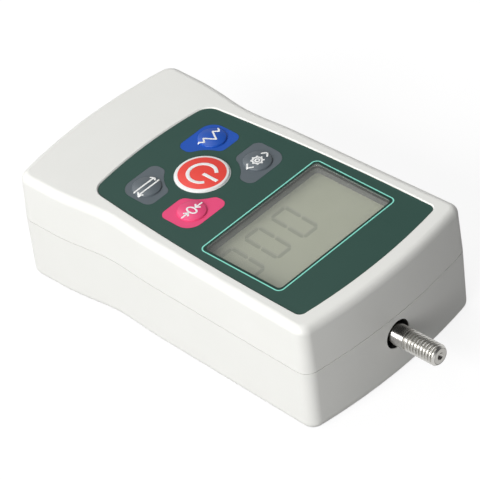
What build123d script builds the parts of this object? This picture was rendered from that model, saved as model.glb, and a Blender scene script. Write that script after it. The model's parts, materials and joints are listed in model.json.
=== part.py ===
"""Hand-held digital force gauge: two plastic half shells, a key and display panel, a strain-gauge
load cell with its threaded sensing shaft, and the electronics and battery between them.

The gauge lies on its back.  X runs across it, +Y points along the sensing shaft and +Z out of the
panel.  The origin lies on the flat back face, near its middle.  All lengths are in millimetres.
"""

import os
from math import radians, tan

from build123d import *

os.makedirs("parts", exist_ok=True)

# ---------------------------------------------------------------- case
case_height = 34.6
parting_z = 19.8  # where the two half shells meet
rear_corner_y = -51.9
front_corner_y = 53.0
rear_bow = 3.1  # how far each end bulges past the line between its corners
front_bow = 2.9
head_half = 30.3  # half width of the rear, which is held in the hand
head_end_y = -40.0  # the head's straight sides end here
waist_half = 28.6
waist_y = -20.5
flare_half = 29.6  # in front of the waist, the sides run straight to the front
flare_y = -4.0
front_half = 31.5
rear_corner_r = 4.3
front_corner_r = 3.8
top_draft = 0.5  # how far the top and the back are drawn in from the parting line
back_draft = 0.1
wall = 2.2
top_edge_r = 2.2
back_edge_r = 2.4
shadow_gap = 0.2  # open line all round between the shells' outer edges
tongue_inset = 1.2
tongue_height = 1.4
tongue_clearance = 0.1

# ---------------------------------------------------------------- key and display panel
panel_rear_y = -30.1
panel_front_y = 47.7
panel_rear_half = 22.1
panel_side_margin = 5.3  # case left on either side of the panel's front corners
panel_front_half = front_half - panel_side_margin
panel_side_bow = 1.0
panel_rear_bow = 1.9
panel_front_bow = 2.0
panel_rear_r = 4.6
panel_front_r = 1.8
panel_sink = 0.3  # the overlay lies this far below the case's top
panel_gap = 0.1
rim_chamfer = 0.3
overlay_t = 0.5
spacer_t = 0.7
circuit_t = 0.3
tray_wall = 1.2  # case wall under and around the panel's pocket

window_y = 23.3
window_side_margin = 4.6
window_width = 2 * (panel_front_half - window_side_margin)
window_length = 26.6
window_r = 1.2
window_gap = 0.05
window_flange = 1.6  # how far the window reaches under the overlay
bezel_rim = 0.8  # thickness of the display holder's rim inside the case's aperture
bezel_gap = 0.1

key_hub_y = -11.2  # centre of the round power key
power_key_r = 7.7
power_emboss_r = 7.4
petal_inner_r = 10.2  # the four outer keys curve round the power key at this radius
petal_row_y = 2.2  # near and far edges of a row of keys, counted from the hub
petal_far_y = 13.7
petal_tip_x = 4.4
front_petal_x = 19.2
rear_petal_x = 18.1
petal_corner_r = 2.3
petal_far_r = 4.3  # corner farthest from the power key
petal_dome_x = 12.7
petal_dome_y = 8.3
petal_dome_r = 4.0
emboss_height = 0.45
emboss_edge_r = 0.3
key_gap = 0.06
key_flange = 0.35
key_flange_t = 0.25
key_flange_gap = 0.05
key_travel = 0.35
key_stop_gap = 0.05
spacer_clearance = 0.25
snap_dome_r = 3.8
snap_dome_top_r = 2.2  # the dome's flat middle
snap_dome_height = 0.3
snap_dome_t = 0.1
snap_recess_gap = 0.4

# ---------------------------------------------------------------- sensing shaft and load cell
shaft_r = 3.0
shaft_hole_r = 4.3
shaft_plain_out = 3.9  # plain shaft outside the case, before the thread
thread_length = 10.5
thread_relief = 0.5
thread_relief_depth = 0.4
tip_chamfer = 0.6
centre_drill_r = 1.1
centre_drill_depth = 1.2
shaft_root_clearance = 0.08
shaft_travel = 0.3
shaft_stop_gap = 0.1
nut_across_flats = 10.0
nut_height = 5.0
nut_clearance = 0.03

cell_width = 25.0
cell_length = 30.0
cell_rear_y = 6.0
cell_lift = 5.4  # load cell above the floor of the case
cell_clearance = 4.0  # from the load cell up to the main board
cell_slot = 1.6
cell_slot_offset = 6.6
cell_slot_rest = 6.0  # solid left at the closed end of each slot
cell_pocket_r = 5.0
cell_web = 3.0
gauge_side = 5.0
gauge_t = 0.2

anchor_width = 38.0
anchor_length = 8.0
anchor_pad_z = 4.4
anchor_rise = 0.8  # the anchor stands this much higher than the load cell
anchor_screw_x = 14.0
anchor_screw_r = 2.0
anchor_head_r = 3.6
anchor_head_height = 2.2
anchor_head_sink = 0.3
anchor_screw_length = 12.0
anchor_pad_r = 4.6
cell_bolt_head_r = 5.0
cell_bolt_head_height = 4.0
cell_bolt_hex_r = 2.5
screw_clearance = 0.05

# ---------------------------------------------------------------- electronics
board_half = 24.0
board_rear_y = -42.0
board_front_y = 43.0
board_t = 1.6
board_corner_r = 1.5
glass_side = 1.9  # glass hidden beside the window
glass_width = window_width + 2 * glass_side
glass_length = 33.4
glass_t = 2.8
glass_gap = 0.1
bezel_web = 0.6
bezel_wall = 1.7
contact_height = 3.0
contact_thickness = 2.2
contact_inset = 1.4
board_post_x = 20.0
board_post_rear_y = -37.5
board_post_mid_y = -1.4
board_post_r = 2.8
board_screw_r = 1.25
board_screw_reach = 4.5
board_head_r = 2.3
board_head_height = 1.4

tail_width = 10.0
tail_y = 0.5
tail_slot_gap = 0.5
tail_socket_wall = 1.6
tail_socket_height = 3.6
tail_plug_depth = 2.4

processor_side = 12.0
processor_t = 1.6
processor_corner_r = 0.3
processor_y = -14.0
amplifier_width = 5.0
amplifier_length = 6.2
amplifier_t = 1.5
amplifier_x = -10.0
amplifier_y = 24.0
buzzer_r = 6.0
buzzer_height = 7.0
buzzer_x = -16.0
buzzer_y = -18.0
buzzer_port_r = 1.0
buzzer_port_depth = 3.5
crystal_width = 11.0
crystal_length = 4.6
crystal_t = 3.4
crystal_y = -5.2
capacitor_r = 2.5
capacitor_height = 5.4
capacitor_x = 17.0
capacitor_y = -12.0
capacitor_pitch = 7.0

socket_width = 6.0
socket_length = 5.0
socket_height = 5.6
socket_rear_y = -33.0
battery_socket_x = 10.0
charge_socket_x = -10.0
cell_socket_x = 18.4
cell_socket_y = 13.0

# ---------------------------------------------------------------- battery, charging jack and leads
battery_gap = 1.2  # from the battery to the stand inserts on either side
battery_length = 33.0
battery_height = 10.4
battery_rear_y = -36.0
battery_edge_r = 2.5
tape_t = 0.8
tape_margin = 2.0
rib_t = 1.2
rib_height = 2.0
rib_gap = 0.3
rib_opening = 16.0  # the ribs at the battery's ends leave this width free for its leads

jack_width = 10.0
jack_length = 11.0
jack_height = 10.0
jack_z = 9.4
jack_gap = 0.3
jack_nose_r = 4.0
jack_nose_clearance = 0.1
jack_nose_sink = 0.6
jack_bore_r = 2.9
jack_bore_depth = 9.5
jack_pin_r = 1.0
jack_pin_sink = 1.0

lead_r = 0.7
lead_pitch = 2.4
lead_loop = 5.0
battery_lead_z = 9.0
cable_r = 1.3
cable_loop = 7.0  # the cable leaves the load cell this far in front of its socket
cable_rise = 2.8  # and this far above the load line
bend_share = 0.45  # a wire's bend takes up to this share of the straight run beside it

# ---------------------------------------------------------------- fasteners in the case
front_boss_inset = 7.1
front_boss_x = front_half - front_boss_inset
front_boss_y = 47.4
rear_boss_x = 23.0
rear_boss_y = -46.6
boss_r = 3.6
case_screw_r = 1.5
case_screw_length = 20.0
case_head_r = 2.7
case_head_height = 2.0
case_seat_z = 8.0
case_bore_r = 3.0
case_shank_gap = 0.2
stand_x = 20.0  # pattern of the threaded inserts that fasten the gauge to a stand
stand_y = 30.0
insert_r = 2.8
insert_length = 7.0
insert_bore_r = 1.65
insert_boss_r = 3.9
insert_cap = 1.6
insert_sink = 0.2
insert_clearance = 0.03
hex_sides = 6
over_cut = 1.0  # a through cut runs this far past what it cuts

# ---------------------------------------------------------------- levels and places that follow
overlay_top = case_height - panel_sink
overlay_z = overlay_top - overlay_t
spacer_z = overlay_z - spacer_t
circuit_z = spacer_z - circuit_t  # also the floor of the panel's pocket
tray_z = circuit_z - tray_wall
ceiling_z = case_height - wall
glass_top = tray_z - bezel_web
glass_z = glass_top - glass_t
board_top = glass_z - contact_height
board_z = board_top - board_t
front_face_y = front_corner_y + front_bow
rear_face_y = rear_corner_y - rear_bow
cell_front_y = cell_rear_y + cell_length
cell_mid_y = cell_rear_y + cell_length / 2
cell_end = cell_length / 2 - cell_slot_offset  # from each end face to the middle of its slot
cell_bottom = wall + cell_lift
cell_top = board_z - cell_clearance
cell_height = cell_top - cell_bottom
load_z = (cell_top + cell_bottom) / 2
cell_grip = cell_end - cell_slot / 2  # length of each end's threaded hole
anchor_height = cell_top + anchor_rise - anchor_pad_z
anchor_rear_y = cell_rear_y - anchor_length
anchor_mid_y = anchor_rear_y + anchor_length / 2
thread_y = front_face_y + shaft_plain_out
tip_y = thread_y + thread_length
battery_width = 2 * (stand_x - insert_r - battery_gap)
battery_z = wall + tape_t
battery_mid_y = battery_rear_y + battery_length / 2
jack_rear_y = rear_face_y + wall + jack_gap
jack_front_y = jack_rear_y + jack_length
glass_mid = Vector(0, window_y)
petal_places = {
    "set_key": (-1, 1),
    "zero_key": (1, 1),
    "peak_key": (-1, -1),
    "unit_key": (1, -1),
}
case_boss_places = [(side * front_boss_x, front_boss_y) for side in (-1, 1)] + [
    (side * rear_boss_x, rear_boss_y) for side in (-1, 1)
]
board_post_places = [
    (side * board_post_x, y) for side in (-1, 1) for y in (board_post_rear_y, board_post_mid_y)
]
stand_places = [(side * stand_x, end * stand_y) for side in (-1, 1) for end in (-1, 1)]
anchor_screw_places = [(side * anchor_screw_x, anchor_mid_y) for side in (-1, 1)]


def level(z):
    """Horizontal plane at height z."""
    return Plane.XY.offset(z)


def facing_front(x, y, z):
    """Plane at a point, with its normal along the shaft."""
    return Plane(origin=(x, y, z), x_dir=(1, 0, 0), z_dir=(0, 1, 0))


# ---------------------------------------------------------------- outlines
def case_outline(inset):
    """The case in plan, drawn in by inset all round."""
    head, waist = head_half - inset, waist_half - inset
    flare, front = flare_half - inset, front_half - inset
    rear_y, front_y = rear_corner_y + inset, front_corner_y - inset
    with BuildSketch() as plan:
        with BuildLine():
            ThreePointArc((-head, rear_y), (0, rear_y - rear_bow), (head, rear_y))
            ThreePointArc((-front, front_y), (0, front_y + front_bow), (front, front_y))
            for side in (-1, 1):
                Line((side * head, rear_y), (side * head, head_end_y))
                Spline(
                    (side * head, head_end_y),
                    (side * waist, waist_y),
                    (side * flare, flare_y),
                    tangents=((0, 1), (side * (front - flare), front_y - flare_y)),
                )
                Line((side * flare, flare_y), (side * front, front_y))
        make_face()
        fillet(plan.vertices().sort_by(Axis.Y)[:2], rear_corner_r - inset)
        fillet(plan.vertices().sort_by(Axis.Y)[-2:], front_corner_r - inset)
    return plan.sketch


def panel_outline(grow):
    """The panel in plan, let out by grow all round."""
    rear, front = panel_rear_half + grow, panel_front_half + grow
    rear_y, front_y = panel_rear_y - grow, panel_front_y + grow
    side_mid = ((rear + front) / 2 + panel_side_bow, (rear_y + front_y) / 2)
    with BuildSketch() as plan:
        with BuildLine():
            ThreePointArc((-rear, rear_y), (0, rear_y - panel_rear_bow), (rear, rear_y))
            ThreePointArc((-front, front_y), (0, front_y + panel_front_bow), (front, front_y))
            for side in (-1, 1):
                ThreePointArc(
                    (side * rear, rear_y), (side * side_mid[0], side_mid[1]), (side * front, front_y)
                )
        make_face()
        fillet(plan.vertices().sort_by(Axis.Y)[:2], panel_rear_r + grow)
        fillet(plan.vertices().sort_by(Axis.Y)[-2:], panel_front_r + grow)
    return plan.sketch


def key_outlines():
    """The five keys in plan, each as its own sketch on the XY plane."""
    with BuildSketch() as disc:
        with Locations((0, key_hub_y)):
            Circle(power_key_r)
    faces = {"power_key": disc.sketch}
    near_x = (petal_inner_r**2 - petal_row_y**2) ** 0.5
    tip_rise = (petal_inner_r**2 - petal_tip_x**2) ** 0.5
    arc_mid = Vector(near_x + petal_tip_x, petal_row_y + tip_rise).normalized() * petal_inner_r
    for name, (side, end) in petal_places.items():
        outer = front_petal_x if end > 0 else rear_petal_x
        loop = [(petal_tip_x, tip_rise), (petal_tip_x, petal_far_y), (outer, petal_far_y)]
        loop += [(outer, petal_row_y), (near_x, petal_row_y)]
        loop = [(side * x, key_hub_y + end * y) for x, y in loop]
        with BuildSketch() as petal:
            with BuildLine():
                Polyline(*loop)
                ThreePointArc(loop[-1], (side * arc_mid.X, key_hub_y + end * arc_mid.Y), loop[0])
            make_face()
            far_corner = loop[2]
            fillet(petal.vertices().sort_by_distance(far_corner)[1:], petal_corner_r)
            fillet(petal.vertices().sort_by_distance(far_corner)[0], petal_far_r)
        faces[name] = petal.sketch
    return faces


key_faces = key_outlines()
dome_places = {"power_key": (0, key_hub_y)}
for key_name, (side, end) in petal_places.items():
    dome_places[key_name] = (side * petal_dome_x, key_hub_y + end * petal_dome_y)


def grown_key(name, grow):
    """One key's outline in plan, let out by grow."""
    return offset(key_faces[name], amount=grow, mode=Mode.PRIVATE)


def export(part, name):
    """Label one finished piece and write it."""
    part.label = name
    export_step(part, f"parts/{name}.step")


# ---------------------------------------------------------------- half shells
with BuildPart() as upper_case:
    with BuildSketch(level(parting_z + shadow_gap)):
        add(case_outline(0))
    with BuildSketch(level(case_height)):
        add(case_outline(top_draft))
    loft(ruled=True)
    fillet(upper_case.faces().sort_by(Axis.Z)[-1].edges(), top_edge_r)
    with BuildSketch(level(parting_z)):
        add(case_outline(wall))
    extrude(amount=ceiling_z - parting_z, mode=Mode.SUBTRACT)
    # Tray under the panel, and the posts that hang from it and from the ceiling.
    with BuildSketch(level(tray_z)):
        add(panel_outline(tray_wall))
    extrude(amount=circuit_z - tray_z)
    with BuildSketch(level(parting_z)):
        with Locations(*case_boss_places):
            Circle(boss_r)
    extrude(amount=circuit_z - parting_z)
    with BuildSketch(level(board_top)):
        with Locations(*board_post_places):
            Circle(board_post_r)
    extrude(amount=circuit_z - board_top)
    # Groove for the lower shell's tongue, and pilot holes in the posts.
    with BuildSketch(level(parting_z)):
        add(case_outline(tongue_inset - tongue_clearance))
        add(case_outline(wall + tongue_clearance), mode=Mode.SUBTRACT)
    extrude(amount=tongue_height, mode=Mode.SUBTRACT)
    with BuildSketch(level(parting_z)):
        with Locations(*case_boss_places):
            Circle(case_screw_r + screw_clearance)
    extrude(amount=case_seat_z + case_screw_length + over_cut - parting_z, mode=Mode.SUBTRACT)
    with BuildSketch(level(board_top)):
        with Locations(*board_post_places):
            Circle(board_screw_r + screw_clearance)
    extrude(amount=board_screw_reach, mode=Mode.SUBTRACT)
    # Pocket for the panel, with a bright chamfered rim, then the display's aperture in its floor.
    with BuildSketch(level(circuit_z)):
        add(panel_outline(panel_gap))
    extrude(amount=case_height - circuit_z, mode=Mode.SUBTRACT)
    pocket_rim = upper_case.faces().filter_by(Plane.XY).sort_by(Axis.Z)[-1].inner_wires()
    chamfer(pocket_rim.edges(), rim_chamfer)
    with BuildSketch(level(tray_z)):
        with Locations(glass_mid):
            RectangleRounded(
                window_width + 2 * (bezel_rim + bezel_gap),
                window_length + 2 * (bezel_rim + bezel_gap),
                window_r + bezel_rim + bezel_gap,
            )
        with Locations((0, tail_y)):
            Rectangle(tail_width + 2 * tail_slot_gap, circuit_t + 2 * tail_slot_gap)
    extrude(amount=circuit_z - tray_z, mode=Mode.SUBTRACT)
export(upper_case.part, "upper_case")

with BuildPart() as lower_case:
    with BuildSketch():
        add(case_outline(back_draft))
    with BuildSketch(level(parting_z)):
        add(case_outline(0))
    loft(ruled=True)
    fillet(lower_case.faces().sort_by(Axis.Z)[0].edges(), back_edge_r)
    with BuildSketch(level(parting_z)):
        add(case_outline(tongue_inset))
    extrude(amount=tongue_height)
    with BuildSketch(level(wall)):
        add(case_outline(wall))
    extrude(amount=parting_z + tongue_height - wall, mode=Mode.SUBTRACT)
    # Screw pillars, stand-insert bosses, pads under the anchor, and ribs round the battery.
    with BuildSketch(level(wall)):
        with Locations(*case_boss_places):
            Circle(boss_r + shadow_gap)
    extrude(amount=parting_z - wall)
    with BuildSketch(level(wall)):
        with Locations(*stand_places):
            Circle(insert_boss_r)
    extrude(amount=insert_length + insert_cap - wall)
    with BuildSketch(level(wall)):
        with Locations(*anchor_screw_places):
            Circle(anchor_pad_r)
    extrude(amount=anchor_pad_z - wall)
    with BuildSketch(level(wall)):
        with Locations((0, battery_mid_y)):
            Rectangle(battery_width + 2 * (rib_gap + rib_t), battery_length + 2 * (rib_gap + rib_t))
            Rectangle(battery_width + 2 * rib_gap, battery_length + 2 * rib_gap, mode=Mode.SUBTRACT)
            Rectangle(rib_opening, 2 * battery_length, mode=Mode.SUBTRACT)
    extrude(amount=rib_height)
    with BuildSketch(level(wall)):
        with Locations((0, jack_front_y - jack_length / 2)):
            Rectangle(jack_width, jack_length)
    extrude(amount=jack_z - jack_height / 2 - wall)
    # Holes: the shaft's, the jack's, and those for screws and inserts from the back.
    with BuildSketch(facing_front(0, 0, load_z)):
        Circle(shaft_hole_r)
    extrude(amount=front_face_y + over_cut, mode=Mode.SUBTRACT)
    with BuildSketch(facing_front(0, jack_rear_y, jack_z)):
        Circle(jack_nose_r + jack_nose_clearance)
    extrude(amount=-2 * wall, mode=Mode.SUBTRACT)
    with BuildSketch():
        with Locations(*case_boss_places):
            Circle(case_bore_r)
    extrude(amount=case_seat_z, mode=Mode.SUBTRACT)
    with BuildSketch():
        with Locations(*case_boss_places):
            Circle(case_screw_r + case_shank_gap)
    extrude(amount=parting_z, mode=Mode.SUBTRACT)
    with BuildSketch():
        with Locations(*stand_places):
            Circle(insert_r + insert_clearance)
    extrude(amount=insert_length, mode=Mode.SUBTRACT)
    with BuildSketch():
        with Locations(*anchor_screw_places):
            Circle(anchor_head_r + case_shank_gap)
    extrude(amount=anchor_head_sink + anchor_head_height, mode=Mode.SUBTRACT)
    with BuildSketch():
        with Locations(*anchor_screw_places):
            Circle(anchor_screw_r + case_shank_gap)
    extrude(amount=anchor_pad_z, mode=Mode.SUBTRACT)
export(lower_case.part, "lower_case")

# ---------------------------------------------------------------- panel, keys and their circuit
window_flange_width = window_width + 2 * window_flange
window_flange_length = window_length + 2 * window_flange

with BuildPart() as panel_overlay:
    with BuildSketch(level(overlay_z)):
        add(panel_outline(0))
        with Locations(glass_mid):
            RectangleRounded(window_width, window_length, window_r, mode=Mode.SUBTRACT)
        for key_name in key_faces:
            add(key_faces[key_name], mode=Mode.SUBTRACT)
    extrude(amount=overlay_t)
export(panel_overlay.part, "panel_overlay")

with BuildPart() as display_window:
    with BuildSketch(level(circuit_z)):
        with Locations(glass_mid):
            RectangleRounded(window_flange_width, window_flange_length, window_r + window_flange)
    extrude(amount=overlay_z - circuit_z)
    with BuildSketch(level(overlay_z)):
        with Locations(glass_mid):
            RectangleRounded(
                window_width - 2 * window_gap, window_length - 2 * window_gap, window_r - window_gap
            )
    extrude(amount=overlay_t)
export(display_window.part, "display_window")

with BuildPart() as key_spacer:
    with BuildSketch(level(spacer_z)):
        add(panel_outline(0))
        with Locations(glass_mid):
            RectangleRounded(
                window_flange_width + 2 * window_gap,
                window_flange_length + 2 * window_gap,
                window_r + window_flange + window_gap,
                mode=Mode.SUBTRACT,
            )
        for key_name in key_faces:
            add(grown_key(key_name, key_flange + spacer_clearance), mode=Mode.SUBTRACT)
    extrude(amount=spacer_t)
export(key_spacer.part, "key_spacer")

tail_foot_z = board_top + tail_socket_height - tail_plug_depth
with BuildPart() as key_circuit:
    with BuildSketch(level(circuit_z)):
        add(panel_outline(0))
        with Locations(glass_mid):
            RectangleRounded(
                window_flange_width + 2 * window_gap,
                window_flange_length + 2 * window_gap,
                window_r + window_flange + window_gap,
                mode=Mode.SUBTRACT,
            )
    extrude(amount=circuit_t)
    with BuildSketch(level(tail_foot_z)):
        with Locations((0, tail_y)):
            Rectangle(tail_width, circuit_t)
    extrude(amount=circuit_z - tail_foot_z)
export(key_circuit.part, "key_circuit")

with BuildPart() as tail_socket:
    with BuildSketch(level(board_top)):
        with Locations((0, tail_y)):
            RectangleRounded(
                tail_width + 2 * tail_socket_wall, circuit_t + 2 * tail_socket_wall, tail_slot_gap
            )
    extrude(amount=tail_socket_height)
    with BuildSketch(level(tail_foot_z)):
        with Locations((0, tail_y)):
            Rectangle(tail_width + 2 * screw_clearance, circuit_t + 2 * screw_clearance)
    extrude(amount=tail_socket_height, mode=Mode.SUBTRACT)
export(tail_socket.part, "tail_socket")

# A key is a cap flush with the overlay, a flange that holds it in, an embossed round on top and a
# recess over its snap dome.
flange_z = overlay_z - key_flange_gap - key_flange_t
recess_r = snap_dome_r + snap_recess_gap
for key_name, place in dome_places.items():
    emboss_r = power_emboss_r if key_name == "power_key" else petal_dome_r
    with BuildPart() as key:
        with BuildSketch(level(flange_z)):
            add(grown_key(key_name, key_flange))
        extrude(amount=key_flange_t)
        with BuildSketch(level(flange_z)):
            add(grown_key(key_name, -key_gap))
        extrude(amount=overlay_top - flange_z)
        with BuildSketch(level(overlay_top)):
            with Locations(place):
                Circle(emboss_r)
        extrude(amount=emboss_height)
        fillet(key.edges().group_by(Axis.Z)[-1], emboss_edge_r)
        with BuildSketch(level(flange_z)):
            with Locations(place):
                Circle(recess_r)
        extrude(amount=overlay_z - flange_z, mode=Mode.SUBTRACT)
    export(key.part, key_name)

# A snap dome is a thin cone with a flat top; its underside is the upper side moved down by its thickness.
dome_rim_r = snap_dome_r - (snap_dome_r - snap_dome_top_r) * snap_dome_t / snap_dome_height
with BuildPart() as snap_domes:
    for place in dome_places.values():
        with BuildSketch(Plane(origin=(*place, spacer_z), x_dir=(1, 0, 0), z_dir=(0, -1, 0))):
            Polygon(
                (snap_dome_r, 0),
                (snap_dome_top_r, snap_dome_height),
                (0, snap_dome_height),
                (0, snap_dome_height - snap_dome_t),
                (snap_dome_top_r, snap_dome_height - snap_dome_t),
                (dome_rim_r, 0),
                align=None,
            )
        revolve(axis=Axis((*place, 0), (0, 0, 1)))
export(snap_domes.part, "snap_domes")

# ---------------------------------------------------------------- display and main board
bezel_width = glass_width + 2 * (glass_gap + bezel_wall)
bezel_length = glass_length + 2 * (glass_gap + bezel_wall)

with BuildPart() as display_holder:
    with BuildSketch(level(board_top)):
        with Locations(glass_mid):
            RectangleRounded(bezel_width, bezel_length, window_r)
    extrude(amount=tray_z - board_top)
    with BuildSketch(level(tray_z)):
        with Locations(glass_mid):
            RectangleRounded(
                window_width + 2 * bezel_rim, window_length + 2 * bezel_rim, window_r + bezel_rim
            )
    extrude(amount=circuit_z - tray_z)
    with BuildSketch(level(board_top)):
        with Locations(glass_mid):
            Rectangle(glass_width + 2 * glass_gap, glass_length + 2 * glass_gap)
    extrude(amount=glass_top - board_top, mode=Mode.SUBTRACT)
    with BuildSketch(level(glass_top)):
        with Locations(glass_mid):
            RectangleRounded(window_width, window_length, window_r)
    extrude(amount=circuit_z - glass_top, mode=Mode.SUBTRACT)
export(display_holder.part, "display_holder")

with BuildPart() as display_glass:
    with BuildSketch(level(glass_z)):
        with Locations(glass_mid):
            Rectangle(glass_width, glass_length)
    extrude(amount=glass_t)
export(display_glass.part, "display_glass")

contact_y = glass_length / 2 - contact_inset
with BuildPart() as contact_strips:
    with BuildSketch(level(board_top)):
        with Locations((0, window_y - contact_y), (0, window_y + contact_y)):
            Rectangle(glass_width - 2 * contact_inset, contact_thickness)
    extrude(amount=contact_height)
export(contact_strips.part, "contact_strips")

with BuildPart() as main_board:
    with BuildSketch(level(board_z)):
        with Locations((0, (board_rear_y + board_front_y) / 2)):
            RectangleRounded(2 * board_half, board_front_y - board_rear_y, board_corner_r)
        with Locations(*board_post_places):
            Circle(board_screw_r + case_shank_gap, mode=Mode.SUBTRACT)
    extrude(amount=board_t)
export(main_board.part, "main_board")

with BuildPart() as board_screws:
    with BuildSketch(level(board_z - board_head_height)):
        with Locations(*board_post_places):
            Circle(board_head_r)
    extrude(amount=board_head_height)
    with BuildSketch(level(board_z)):
        with Locations(*board_post_places):
            Circle(board_screw_r)
    extrude(amount=board_t + board_screw_reach - screw_clearance)
export(board_screws.part, "board_screws")

with BuildPart() as processor:
    with BuildSketch(level(board_z)):
        with Locations((0, processor_y)):
            RectangleRounded(processor_side, processor_side, processor_corner_r)
    extrude(amount=-processor_t)
export(processor.part, "processor")

with BuildPart() as amplifier:
    with BuildSketch(level(board_z)):
        with Locations((amplifier_x, amplifier_y)):
            Rectangle(amplifier_width, amplifier_length)
    extrude(amount=-amplifier_t)
export(amplifier.part, "amplifier")

with BuildPart() as crystal:
    with BuildSketch(level(board_z)):
        with Locations((0, crystal_y)):
            SlotOverall(crystal_width, crystal_length)
    extrude(amount=-crystal_t)
export(crystal.part, "crystal")

with BuildPart() as capacitors:
    with BuildSketch(level(board_z)):
        with Locations((capacitor_x, capacitor_y), (capacitor_x, capacitor_y - capacitor_pitch)):
            Circle(capacitor_r)
    extrude(amount=-capacitor_height)
export(capacitors.part, "capacitors")

with BuildPart() as buzzer:
    with BuildSketch(level(board_z)):
        with Locations((buzzer_x, buzzer_y)):
            Circle(buzzer_r)
    extrude(amount=-buzzer_height)
    with BuildSketch(level(board_z - buzzer_height)):
        with Locations((buzzer_x, buzzer_y)):
            Circle(buzzer_port_r)
    extrude(amount=buzzer_port_depth, mode=Mode.SUBTRACT)
export(buzzer.part, "buzzer")

socket_places = {
    "battery_socket": (battery_socket_x, socket_rear_y + socket_length / 2),
    "charge_socket": (charge_socket_x, socket_rear_y + socket_length / 2),
    "cell_socket": (cell_socket_x, cell_socket_y),
}
with BuildPart() as lead_sockets:
    with BuildSketch(level(board_z)):
        with Locations(*socket_places.values()):
            Rectangle(socket_width, socket_length)
    extrude(amount=-socket_height)
export(lead_sockets.part, "lead_sockets")

# ---------------------------------------------------------------- load cell, shaft and anchor
with BuildPart() as load_cell:
    with BuildSketch(level(cell_bottom)):
        with Locations((0, cell_mid_y)):
            Rectangle(cell_width, cell_length)
            slot_width = cell_width - cell_slot_rest
            with Locations((cell_slot_rest / 2, cell_slot_offset)):
                Rectangle(slot_width, cell_slot, mode=Mode.SUBTRACT)
            with Locations((-cell_slot_rest / 2, -cell_slot_offset)):
                Rectangle(slot_width, cell_slot, mode=Mode.SUBTRACT)
    extrude(amount=cell_height)
    # Round pockets from above and below leave the thin web that carries the gauges.
    with BuildSketch(level(load_z + cell_web / 2)):
        with Locations((0, cell_mid_y)):
            Circle(cell_pocket_r)
    extrude(amount=cell_height, mode=Mode.SUBTRACT)
    with BuildSketch(level(load_z - cell_web / 2)):
        with Locations((0, cell_mid_y)):
            Circle(cell_pocket_r)
    extrude(amount=-cell_height, mode=Mode.SUBTRACT)
    with BuildSketch(facing_front(0, cell_front_y, load_z)):
        Circle(shaft_r)
    extrude(amount=-cell_end, mode=Mode.SUBTRACT)
    with BuildSketch(facing_front(0, cell_rear_y, load_z)):
        Circle(shaft_r + screw_clearance)
    extrude(amount=cell_end, mode=Mode.SUBTRACT)
export(load_cell.part, "load_cell")

with BuildPart() as strain_gauges:
    with BuildSketch(level(load_z + cell_web / 2)):
        with Locations(Location((0, cell_mid_y), 45)):
            Rectangle(gauge_side, gauge_side)
    extrude(amount=gauge_t)
    with BuildSketch(level(load_z - cell_web / 2)):
        with Locations(Location((0, cell_mid_y), 45)):
            Rectangle(gauge_side, gauge_side)
    extrude(amount=-gauge_t)
export(strain_gauges.part, "strain_gauges")

nut_rear_y = cell_front_y + shaft_travel + shaft_stop_gap
with BuildPart() as sensing_shaft:
    with BuildSketch(facing_front(0, cell_front_y - cell_grip + shaft_travel, load_z)):
        Circle(shaft_r - shaft_root_clearance)
    extrude(amount=cell_grip + shaft_stop_gap)
    with BuildSketch(facing_front(0, nut_rear_y - shaft_stop_gap / 2, load_z)):
        Circle(shaft_r)
    extrude(amount=tip_y - nut_rear_y + shaft_stop_gap / 2)
    chamfer(sensing_shaft.edges().sort_by(Axis.Y)[-1], tip_chamfer)
    with BuildSketch(facing_front(0, thread_y, load_z)):
        Circle(shaft_r)
        Circle(shaft_r - thread_relief_depth, mode=Mode.SUBTRACT)
    extrude(amount=thread_relief, mode=Mode.SUBTRACT)
    with Locations(Location((0, tip_y, load_z), (-90, 0, 0))):
        Cone(
            0,
            centre_drill_r,
            centre_drill_depth,
            align=(Align.CENTER, Align.CENTER, Align.MAX),
            mode=Mode.SUBTRACT,
        )
export(sensing_shaft.part, "sensing_shaft")

with BuildPart() as shaft_nut:
    with BuildSketch(facing_front(0, nut_rear_y, load_z)):
        RegularPolygon(nut_across_flats / 2, hex_sides, major_radius=False)
        Circle(shaft_r + nut_clearance, mode=Mode.SUBTRACT)
    extrude(amount=nut_height)
export(shaft_nut.part, "shaft_nut")

with BuildPart() as cell_anchor:
    with BuildSketch(level(anchor_pad_z)):
        with Locations((0, anchor_mid_y)):
            Rectangle(anchor_width, anchor_length)
        with Locations(*anchor_screw_places):
            Circle(anchor_screw_r + screw_clearance, mode=Mode.SUBTRACT)
    extrude(amount=anchor_height)
    with BuildSketch(facing_front(0, anchor_rear_y, load_z)):
        Circle(shaft_r + screw_clearance)
    extrude(amount=anchor_length, mode=Mode.SUBTRACT)
    with BuildSketch(facing_front(0, anchor_rear_y, load_z)):
        Circle(cell_bolt_head_r + case_shank_gap)
    extrude(amount=cell_bolt_head_height, mode=Mode.SUBTRACT)
export(cell_anchor.part, "cell_anchor")

with BuildPart() as cell_bolt:
    with BuildSketch(facing_front(0, anchor_rear_y, load_z)):
        Circle(cell_bolt_head_r)
        RegularPolygon(cell_bolt_hex_r, hex_sides, mode=Mode.SUBTRACT)
    extrude(amount=cell_bolt_head_height)
    with BuildSketch(facing_front(0, anchor_rear_y + cell_bolt_head_height / 2, load_z)):
        Circle(shaft_r)
    extrude(amount=anchor_length - cell_bolt_head_height / 2 + cell_grip)
export(cell_bolt.part, "cell_bolt")

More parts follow.
